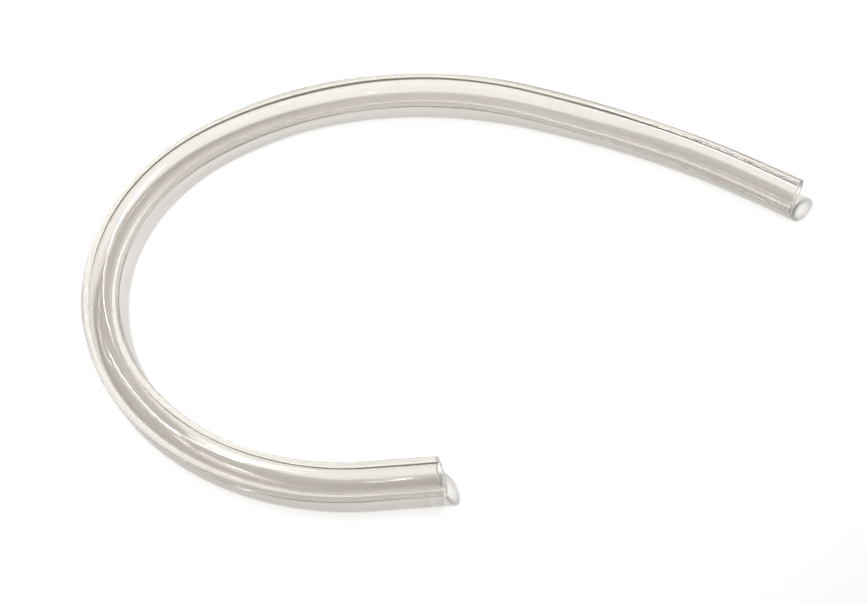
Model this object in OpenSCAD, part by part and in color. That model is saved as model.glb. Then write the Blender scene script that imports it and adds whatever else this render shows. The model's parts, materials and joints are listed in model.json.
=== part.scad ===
// A bare length of clear siphon hose that lies flat in an open loop, cut square at both ends.
// Sizes are in millimetres and angles in degrees. The hose rests on the plane z = 0.

/* [Hose] */
// Length along the middle of the hose, from cut to cut
hose_l = 400; // [370:5:600]
// Diameter of the bore
bore_d = 7; // [5:0.5:10]
// Thickness of the wall
wall_t = 2; // [1:0.25:3]

/* [Lie of the loop] */
// Straight stretch behind each cut, where a cane or a barb goes in
end_run = 20; // [12:1:28]
// Direction in which the hose sets off from its upper end, anticlockwise from +X
upper_dir = 148; // [138:1:158]
// Turn of the long arm behind the upper end, which takes up what is left of the length
arm_turn = 13; // [6:1:20]
// Radius of the bend at the top of the loop
crown_r = 105; // [90:1:120]
// Turn of the bend at the top
crown_turn = 58; // [50:1:64]
// Radius of the bend round the closed side of the loop
loop_r = 72; // [60:1:80]
// Turn of the bend round the closed side
loop_turn = 146; // [130:1:155]

/* [Hidden] */
$fn = 72;
outer_d = bore_d + 2 * wall_t;
axis_z = outer_d / 2;
arm_l = hose_l - 2 * end_run - (crown_r * crown_turn + loop_r * loop_turn) * PI / 180;
arm_r = arm_l / arm_turn * 180 / PI;
// The lie of the hose from its upper end to its lower end: [length, 0] is a straight run
// and [radius, turn] is a bend to the left
RUNS = [
    [end_run, 0],
    [arm_r, arm_turn],
    [crown_r, crown_turn],
    [loop_r, loop_turn],
    [end_run, 0],
];
LAST = len(RUNS) - 1;
// Every second run, the arm and the loop, reaches this far into the walls of its neighbours
LAP = 0.5;
// and is thinner by this on each face, so that the runs fuse into one solid
LAP_EASE = 0.01;
// Points on each run that measure how far the loop spreads
RUN_STEPS = 180;

// A vector turned about Z
function turned(v, a) = [v.x * cos(a) - v.y * sin(a), v.x * sin(a) + v.y * cos(a)];
// How far a run that sets off along +X has come at the fraction t of it
function along(run, t) = run[1] == 0
    ? [run[0] * t, 0]
    : run[0] * [sin(run[1] * t), 1 - cos(run[1] * t)];
function heading(i) = i == 0 ? upper_dir : heading(i - 1) + RUNS[i - 1][1];
function start(i) = i == 0 ? [0, 0] : start(i - 1) + turned(along(RUNS[i - 1], 1), heading(i - 1));

// Both sides of the hose seen from above, which give the middle of its box
SIDES = [
    for (i = [0 : LAST], k = [0 : RUN_STEPS], side = [-1, 1])
        let (t = k / RUN_STEPS, run = RUNS[i])
        start(i) + turned(along(run, t) + side * axis_z * [-sin(run[1] * t), cos(run[1] * t)], heading(i))
];
xs = [for (p = SIDES) p.x];
ys = [for (p = SIDES) p.y];
middle = [min(xs) + max(xs), min(ys) + max(ys)] / 2;

module hose_section(ease = 0) {
    difference() {
        circle(d = outer_d - 2 * ease);
        circle(d = bore_d + 2 * ease);
    }
}

// Sets off from the origin along +X
module straight_run(length) {
    rotate([90, 0, 90])
        linear_extrude(length)
            hose_section();
}

// Sets off from the origin along +X and bends to the left
module bend_run(radius, turn) {
    translate([0, radius, 0])
        rotate(-90)
            rotate_extrude(angle = turn)
                translate([radius, 0])
                    hose_section();
}

// The same bend, reaching into the runs before and after it
module lapped_bend_run(radius, turn) {
    lap_turn = LAP / radius * 180 / PI;
    translate([0, radius, 0])
        rotate(-90 - lap_turn)
            rotate_extrude(angle = turn + 2 * lap_turn)
                translate([radius, 0])
                    hose_section(LAP_EASE);
}

module siphon_hose() {
    color([0.86, 0.87, 0.84, 0.5])
        translate([-middle.x, -middle.y, axis_z])
            for (i = [0 : LAST])
                translate(start(i))
                    rotate(heading(i))
                        if (RUNS[i][1] == 0)
                            straight_run(RUNS[i][0]);
                        else if (i % 2 == 1)
                            lapped_bend_run(RUNS[i][0], RUNS[i][1]);
                        else
                            bend_run(RUNS[i][0], RUNS[i][1]);
}

siphon_hose();
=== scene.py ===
"""A bare length of clear siphon hose, lying in an open loop on a white table."""

import json
import math

import bmesh
import bpy
from mathutils import Matrix, Vector


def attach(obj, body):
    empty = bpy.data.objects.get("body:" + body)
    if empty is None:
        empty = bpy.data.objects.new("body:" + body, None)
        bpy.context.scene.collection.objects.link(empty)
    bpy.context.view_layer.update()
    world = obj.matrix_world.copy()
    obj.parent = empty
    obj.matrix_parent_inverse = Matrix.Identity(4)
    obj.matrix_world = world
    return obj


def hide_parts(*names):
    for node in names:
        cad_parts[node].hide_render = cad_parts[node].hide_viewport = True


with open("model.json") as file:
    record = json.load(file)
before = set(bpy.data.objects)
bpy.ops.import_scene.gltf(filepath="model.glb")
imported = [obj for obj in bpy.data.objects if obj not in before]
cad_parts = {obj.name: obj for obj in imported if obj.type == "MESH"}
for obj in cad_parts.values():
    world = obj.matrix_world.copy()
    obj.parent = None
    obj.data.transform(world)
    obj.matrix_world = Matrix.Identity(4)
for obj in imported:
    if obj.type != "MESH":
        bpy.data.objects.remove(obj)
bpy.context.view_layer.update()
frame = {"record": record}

# Hose sizes in metres and the place of its upper end, from the part's mounts
mounts = {mount["name"]: mount for mount in frame["record"]["mounts"]}
UPPER_BORE = mounts["upper_bore"]
BORE = 2 * UPPER_BORE["dims"]["r_mm"] / 1000
OUTER = 2 * mounts["upper_outside"]["dims"]["r_mm"] / 1000
END_RUN = UPPER_BORE["dims"]["length_mm"] / 1000
UPPER_END = Vector(UPPER_BORE["pos_m"])
UPPER_DIRECTION = math.degrees(math.atan2(-UPPER_BORE["axis"][1], -UPPER_BORE["axis"][0]))
# Distance of the middle of the wall from the axis, which tells the skin from the bore
MID_WALL = (BORE + OUTER) / 4

# The lie of the hose behind its upper end, as in the part's source
HOSE_LENGTH = 0.400
ARM_TURN = 13
# Bends to the left: (radius, turn in degrees)
CROWN = (0.105, 58)
LOOP = (0.072, 146)

# The curl left in the hose lifts its crown off the table and draws it in: middle, half length and height
CURL_MIDDLE = 0.108
CURL_REACH = 0.075
CURL_HEIGHT = 0.0018
# The upper end bends in further than the part's, by this much over this length
TIP_BEND = 0.0008
TIP_REACH = 0.032
# The hose is stretched until each end reaches this much further
END_REACH = 0.0006
# The knife went askew through both ends, by these degrees, which fade out over this length
UPPER_SKEW = 7
LOWER_SKEW = 12
SKEW_EASE = 0.012

# Faults of the extrusion: waves round the section, their heights and their turns along the hose
BORE_WAVES = [
    (1, 0.00012, -4.7),
    (2, 0.00004, -0.4),
    (3, 0.00003, 0.9),
    (5, 0.00002, -1.3),
    (8, 0.00001, 0.7),
]
SKIN_WAVES = [
    (2, 0.00003, 0.5),
    (3, 0.00002, -0.8),
    (5, 0.00001, 1.1),
]
# The waves of the skin only take away from it, so the hose is nowhere thicker than the part
SKIN_LOSS = sum(height for _, height, _ in SKIN_WAVES)

# Sides of the section, rings along the hose and steps of its route
ROUND = 96
RINGS = 400
ROUTE_STEPS = 39
# Corners that are this close along the hose belong to one cut
SAME_CUT = 1e-6

# The plastic bends light by this index. Per metre it takes, of red, green and blue,
# its density times 1 less its colour
PLASTIC_IOR = 1.53
PLASTIC_COLOR = (0.71, 0.665, 0.585, 1)
PLASTIC_DENSITY = 122
# Roughness of the clean and the smudged skin, of the bore and of the frosted cuts
SKIN_ROUGHNESS = (0.02, 0.06)
BORE_ROUGHNESS = 0.05
CUT_ROUGHNESS = 0.8
# How far the frost of each cut reaches onto the skin and into the bore
FROST = 0.00025
# Smudges from handling: how fine they are along and across the hose, where they set in, and their tints
SMUDGE_SCALE = (90, 300, 300)
SMUDGE_SPAN = (0.45, 0.75)
CLEAN_TINT = (0.995, 0.992, 0.985, 1)
SMUDGED_TINT = (0.975, 0.970, 0.962, 1)
# Lines that the die drew along the hose: how fine they are along and across it, their strength and depth
DIE_LINE_SCALE = (2, 900, 900)
DIE_LINE_STRENGTH = 0.05
DIE_LINE_DEPTH = 0.00005

# Share of the light that goes through both walls to the table at the hose's edges, and what its middle adds
THROUGH_EDGES = 0.38
MIDDLE_ADDS = 0.36
# Shares that go through a cut, at the bore and this far out from it
RIM_SHARES = (0.95, 0.05)
RIM_WIDTH = 0.0007
# Share that goes through the mouth of the bore, and how deep the mouth is
MOUTH_SHARE = 0.35
MOUTH_DEPTH = 0.0007

# The table: half its width, the spot where its painted pool of light is brightest, and the distances from
# there over which painted shade darkens it from the first value to the second, as seen by the camera and as
# seen by way of the hose
TABLE_HALF = 2.0
TABLE_ROUGHNESS = 0.9
PAINTED_LIGHT_MIDDLE = (0, 0.06, 0)
SEEN_FADE = (0.10, 0.30)
SEEN_PAINTED_FALLOFF = (0.97, 0.70)
REFRACTED_FADE = (0.10, 0.42)
REFRACTED_PAINTED_FALLOFF = (0.97, 0.30)

# The room's walls, low and high, and the span of upward directions in which one turns into the other
LOW_WALLS = (0.22, 0.20, 0.18, 1)
HIGH_WALLS = (0.375, 0.36, 0.345, 1)
WALL_SPAN = (0.40, 0.56)
WHITE = (1, 1, 1, 1)

# Lamps over the table, all level: where they hang, their sizes along X and Y, their powers and turns
KEY_PLACE = (-0.64, 0.03, 1.6)
KEY_SIZE = 0.15
KEY_POWER = 16
SHADE_PLACE = (-0.51, 0.41, 1.6)
SHADE_SIZE = (0.32, 0.99)
SHADE_TURN = -28
SHADE_POWER = 5
STRIP_PLACE = (0.54, 1.41, 1.6)
STRIP_SIZE = (0.13, 1.46)
STRIP_POWER = 12
TUBE_PLACE = (-1.016, 0.496, 1.6)
TUBE_SIZE = (0.05, 1.12)
TUBE_TURN = -14
TUBE_POWER = 8
# Two small far lamps, which show only as glints on the skin
GLINTS = [((0.11, -1.02, 1.2), (0.02, 0.17), 0.45), ((-1.05, 0.47, 1.0), 0.05, 0.35)]

# The camera looks at this spot on the table
LOOK_AT = Vector((-0.0056, -0.0087, 0))
CAMERA_DISTANCE = 0.4827
CAMERA_ELEVATION = math.radians(50)
CAMERA_NEAR = 0.01
PHOTO_WIDTH = 867
FOCAL_PIXELS = 1650
SENSOR = 36


def bend_length(bend):
    radius, turn = bend
    return radius * math.radians(turn)


def heading_vector(degrees):
    return Vector((math.cos(math.radians(degrees)), math.sin(math.radians(degrees)), 0))


ARM_LENGTH = HOSE_LENGTH - 2 * END_RUN - bend_length(CROWN) - bend_length(LOOP)
ARM = (ARM_LENGTH / math.radians(ARM_TURN), ARM_TURN)
# (length, 0) runs straight
RUNS = [(END_RUN, 0), ARM, CROWN, LOOP, (END_RUN, 0)]


def place_on_lie(distance):
    """The point of the hose's middle line at a distance from its upper end, and its heading there."""
    point, heading = UPPER_END.copy(), UPPER_DIRECTION
    for size, turn in RUNS:
        length = bend_length((size, turn)) if turn else size
        step = min(distance, length)
        if turn:
            turned = math.degrees(step / size)
            point = point + (heading_vector(heading - 90 + turned) - heading_vector(heading - 90)) * size
            heading += turned
        else:
            point = point + heading_vector(heading) * step
        distance -= step
    return point, heading


def place_as_seen(distance):
    """The same place and heading, with the curl and the bent tip of the real hose."""
    point, heading = place_on_lie(distance)
    share = min(1, abs(distance - CURL_MIDDLE) / CURL_REACH)
    lift = CURL_HEIGHT * (1 + math.cos(math.pi * share)) / 2
    near_tip = max(0, 1 - distance / TIP_REACH)
    turned_in = math.degrees(2 * TIP_BEND / TIP_REACH * near_tip)
    point += Vector((0, -lift, lift)) + heading_vector(heading + 90) * TIP_BEND * near_tip**2
    return point, heading - turned_in


def node(tree, kind, inputs=None, **settings):
    """A shader node with its settings, whose inputs are set to values or linked to sockets."""
    made = tree.nodes.new("ShaderNode" + kind)
    for name, value in settings.items():
        setattr(made, name, value)
    for name, value in (inputs or {}).items():
        if isinstance(value, bpy.types.NodeSocket):
            tree.links.new(value, made.inputs[name])
        else:
            made.inputs[name].default_value = value
    return made


def maths(tree, operation, *values):
    return node(tree, "Math", dict(enumerate(values)), operation=operation).outputs[0]


def mixed(tree, factor, low, high):
    return node(tree, "Mix", {0: factor, 2: low, 3: high}, data_type="FLOAT").outputs[0]


def mixed_color(tree, factor, low, high):
    return node(tree, "Mix", {0: factor, 6: low, 7: high}, data_type="RGBA").outputs[2]


def ramp(tree, value, span, ends, interpolation="LINEAR"):
    """Goes from one of the ends to the other while the value crosses the span."""
    inputs = {
        "Value": value,
        "From Min": span[0],
        "From Max": span[1],
        "To Min": ends[0],
        "To Max": ends[1],
    }
    return node(tree, "MapRange", inputs, interpolation_type=interpolation).outputs[0]


def noise_along(tree, straight, scale, detail, roughness):
    """A noise that is as fine along the hose, and across it, as its scale says."""
    scaled = node(tree, "VectorMath", {0: straight, 1: scale}, operation="MULTIPLY").outputs[0]
    inputs = {"Vector": scaled, "Scale": 1.0, "Detail": detail, "Roughness": roughness}
    return node(tree, "TexNoise", inputs).outputs["Fac"]


def new_object(name, data):
    made = bpy.data.objects.new(name, data)
    bpy.context.scene.collection.objects.link(made)
    return made


def straight_hose(bm):
    """A straight tube along +X, from 0 to the hose's length, with square ends."""
    bmesh.ops.create_circle(bm, segments=ROUND, radius=OUTER / 2)
    bmesh.ops.rotate(bm, verts=bm.verts, matrix=Matrix.Rotation(math.pi / 2, 3, "Y"))
    first = edges = bm.edges[:]
    for along, swell in ((0, BORE / OUTER), (HOSE_LENGTH, 1), (0, OUTER / BORE)):
        made = bmesh.ops.extrude_edge_only(bm, edges=edges)
        verts = [g for g in made["geom"] if isinstance(g, bmesh.types.BMVert)]
        edges = [g for g in made["geom"] if isinstance(g, bmesh.types.BMEdge)]
        bmesh.ops.translate(bm, verts=verts, vec=(along, 0, 0))
        bmesh.ops.scale(bm, verts=verts, vec=(1, swell, swell))
    bmesh.ops.bridge_loops(bm, edges=first + edges)
    lengthwise = [e for e in bm.edges if e.calc_length() > HOSE_LENGTH / 2]
    bmesh.ops.subdivide_edges(bm, edges=lengthwise, cuts=RINGS - 1, use_grid_fill=True)
    bmesh.ops.recalc_face_normals(bm, faces=bm.faces)


def wave_height(waves, angle, distance):
    along = 2 * math.pi * distance / HOSE_LENGTH
    return sum(height * math.cos(count * angle + turns * along) for count, height, turns in waves)


def as_extruded(straight):
    """A point of the true tube, moved to where the real hose has it before it is laid in its loop."""
    x, y, z = straight
    off_axis = math.hypot(y, z)
    angle = math.atan2(z, y)
    if off_axis < MID_WALL:
        moved = off_axis + wave_height(BORE_WAVES, angle, x)
    else:
        moved = off_axis + wave_height(SKIN_WAVES, angle, x) - SKIN_LOSS
    y, z = y * moved / off_axis, z * moved / off_axis
    skew = UPPER_SKEW if x < HOSE_LENGTH / 2 else LOWER_SKEW
    near_end = max(0, 1 - min(x, HOSE_LENGTH - x) / SKEW_EASE)
    reach = END_REACH * (2 * x / HOSE_LENGTH - 1)
    return x + reach - y * math.tan(math.radians(skew)) * near_end, y, z


def hose_mesh():
    bm = bmesh.new()
    straight_hose(bm)
    straight = bm.verts.layers.float_vector.new("straight")
    for v in bm.verts:
        v[straight] = v.co
        x, y, z = as_extruded(v.co)
        point, heading = place_as_seen(min(x, HOSE_LENGTH))
        past_end = heading_vector(heading) * max(0, x - HOSE_LENGTH)
        v.co = point + past_end + heading_vector(heading + 90) * y + Vector((0, 0, z))
    for f in bm.faces:
        xs = [v[straight].x for v in f.verts]
        f.smooth = max(xs) - min(xs) > SAME_CUT
    for e in bm.edges:
        if len({f.smooth for f in e.link_faces}) == 2:
            e.smooth = False
    mesh = bpy.data.meshes.new("clear_hose")
    bm.to_mesh(mesh)
    bm.free()
    return mesh


def near_cut(tree, along, depth):
    """1 on both cuts and to a depth from them along the hose, and else 0."""
    return maths(tree, "MAXIMUM", maths(tree, "LESS_THAN", along, depth),
                 maths(tree, "GREATER_THAN", along, HOSE_LENGTH - depth))


def share_to_table(tree, along, off_axis, at_cut, on_skin):
    """The share of the light that each surface of the hose lets through to the table."""
    # the round skin spreads it, most of all near the edges of the hose
    facing = maths(tree, "SUBTRACT", 1.0, node(tree, "LayerWeight").outputs["Facing"])
    squared = maths(tree, "MULTIPLY", facing, facing)
    through_skin = maths(tree, "SQRT", maths(tree, "MULTIPLY_ADD", squared, MIDDLE_ADDS, THROUGH_EDGES))
    # nothing is lost at the bore, but its mouth turns some of it aside, and a cut most of it
    through_bore = mixed(tree, near_cut(tree, along, MOUTH_DEPTH), 1.0, MOUTH_SHARE)
    through_cut = ramp(tree, off_axis, (BORE / 2, BORE / 2 + RIM_WIDTH), RIM_SHARES)
    return mixed(tree, at_cut, mixed(tree, on_skin, through_bore, through_skin), through_cut)


def clear_hose_material():
    mat = bpy.data.materials.new("clear_hose")
    mat.use_nodes = True
    tree = mat.node_tree
    out = tree.nodes["Material Output"]
    plastic = tree.nodes["Principled BSDF"]
    plastic.inputs["Transmission Weight"].default_value = 1.0
    plastic.inputs["IOR"].default_value = PLASTIC_IOR

    # Where a point lies on the straight tube
    straight = node(tree, "Attribute", attribute_name="straight").outputs["Vector"]
    along, across, up = node(tree, "SeparateXYZ", {0: straight}).outputs
    off_axis = maths(tree, "SQRT", maths(tree, "ADD", maths(tree, "MULTIPLY", across, across),
                                         maths(tree, "MULTIPLY", up, up)))
    at_cut = near_cut(tree, along, FROST)
    on_skin = maths(tree, "GREATER_THAN", off_axis, MID_WALL)

    # Faint smudges on the skin, a duller bore and frosted cuts
    smudge = noise_along(tree, straight, SMUDGE_SCALE, detail=4.0, roughness=0.6)
    skin = ramp(tree, smudge, SMUDGE_SPAN, SKIN_ROUGHNESS)
    dullness = mixed(tree, at_cut, mixed(tree, on_skin, BORE_ROUGHNESS, skin), CUT_ROUGHNESS)
    tree.links.new(dullness, plastic.inputs["Roughness"])
    tree.links.new(mixed_color(tree, smudge, CLEAN_TINT, SMUDGED_TINT), plastic.inputs["Base Color"])

    die_lines = noise_along(tree, straight, DIE_LINE_SCALE, detail=2.0, roughness=0.5)
    bump = node(tree, "Bump", {
        "Strength": DIE_LINE_STRENGTH, "Distance": DIE_LINE_DEPTH, "Height": die_lines,
    })
    tree.links.new(bump.outputs[0], plastic.inputs["Normal"])

    # Light between the lamps and the table, and from the table on, goes straight through a plain tint
    tint = share_to_table(tree, along, off_axis, at_cut, on_skin)
    let_through = node(tree, "BsdfTransparent", {"Color": tint})
    path = node(tree, "LightPath")
    from_table = maths(tree, "MAXIMUM", path.outputs["Is Shadow Ray"],
                       maths(tree, "GREATER_THAN", path.outputs["Diffuse Depth"], 0.0))
    surface = node(tree, "MixShader", {0: from_table, 1: plastic.outputs[0], 2: let_through.outputs[0]})
    tree.links.new(surface.outputs[0], out.inputs["Surface"])
    inside = node(tree, "VolumeAbsorption", {"Color": PLASTIC_COLOR, "Density": PLASTIC_DENSITY})
    tree.links.new(inside.outputs[0], out.inputs["Volume"])
    return mat


hose = new_object("clear_hose", hose_mesh())
hose.data.materials.append(clear_hose_material())
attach(hose, "root")
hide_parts("siphon_hose")
STATIONS = [HOSE_LENGTH * k / ROUTE_STEPS for k in range(ROUTE_STEPS + 1)]
ROUTE = [place_as_seen(distance)[0] for distance in STATIONS]


def white_table():
    bm = bmesh.new()
    bmesh.ops.create_grid(bm, x_segments=1, y_segments=1, size=TABLE_HALF)
    mesh = bpy.data.meshes.new("table")
    bm.to_mesh(mesh)
    bm.free()
    table = new_object("table", mesh)
    mat = bpy.data.materials.new("white_table")
    mat.use_nodes = True
    tree = mat.node_tree
    surface = tree.nodes["Principled BSDF"]
    place = node(tree, "TexCoord").outputs["Object"]
    away = node(tree, "VectorMath", {0: place, 1: PAINTED_LIGHT_MIDDLE}, operation="DISTANCE").outputs["Value"]
    # painted light and shade: the camera sees a pale table that darkens away from a painted pool of light,
    # and to every other ray, such as those through the hose, painted shade makes it darker still far away,
    # which draws its wall line
    seen = ramp(tree, away, SEEN_FADE, SEEN_PAINTED_FALLOFF, "SMOOTHSTEP")
    refracted = ramp(tree, away, REFRACTED_FADE, REFRACTED_PAINTED_FALLOFF, "SMOOTHSTEP")
    painted_falloff = mixed(tree, node(tree, "LightPath").outputs["Is Camera Ray"], refracted, seen)
    tree.links.new(painted_falloff, surface.inputs["Base Color"])
    surface.inputs["Roughness"].default_value = TABLE_ROUGHNESS
    surface.inputs["Specular IOR Level"].default_value = 0.0
    mesh.materials.append(mat)


white_table()


def lamp(name, place, size, power, turn=0):
    """A lamp that faces straight down, turned by some degrees: round where its size is one number."""
    data = bpy.data.lights.new(name, "AREA")
    if isinstance(size, tuple):
        data.shape = "RECTANGLE"
        data.size, data.size_y = size
    else:
        data.shape = "DISK"
        data.size = size
    data.energy = power
    hung = new_object(name, data)
    hung.location = place
    hung.rotation_euler.z = math.radians(turn)


lamp("key", KEY_PLACE, KEY_SIZE, KEY_POWER)
lamp("shade", SHADE_PLACE, SHADE_SIZE, SHADE_POWER, SHADE_TURN)
lamp("strip", STRIP_PLACE, STRIP_SIZE, STRIP_POWER)
lamp("tube", TUBE_PLACE, TUBE_SIZE, TUBE_POWER, TUBE_TURN)
for place, size, power in GLINTS:
    lamp("glint", place, size, power)


def room():
    """Dim walls that the hose mirrors, and white where the camera sees past the table."""
    world = bpy.data.worlds.new("room")
    bpy.context.scene.world = world
    world.use_nodes = True
    tree = world.node_tree
    path = node(tree, "LightPath")
    up = node(tree, "SeparateXYZ", {0: node(tree, "TexCoord").outputs["Generated"]}).outputs["Z"]
    height = ramp(tree, up, WALL_SPAN, (0, 1), "SMOOTHSTEP")
    walls = mixed_color(tree, height, LOW_WALLS, HIGH_WALLS)
    shown = mixed_color(tree, path.outputs["Is Camera Ray"], walls, WHITE)
    tree.links.new(shown, tree.nodes["Background"].inputs["Color"])
    tree.nodes["Background"].inputs["Strength"].default_value = 1.0


room()

lens = bpy.data.cameras.new("camera")
lens.sensor_width = SENSOR
lens.sensor_fit = "HORIZONTAL"
lens.lens = FOCAL_PIXELS / PHOTO_WIDTH * SENSOR
lens.clip_start = CAMERA_NEAR
camera = new_object("camera", lens)
towards_camera = Vector((0, -math.cos(CAMERA_ELEVATION), math.sin(CAMERA_ELEVATION)))
camera.location = LOOK_AT + towards_camera * CAMERA_DISTANCE
camera.rotation_euler = (math.pi / 2 - CAMERA_ELEVATION, 0, 0)
bpy.context.scene.camera = camera

bpy.context.scene.view_settings.view_transform = "Standard"
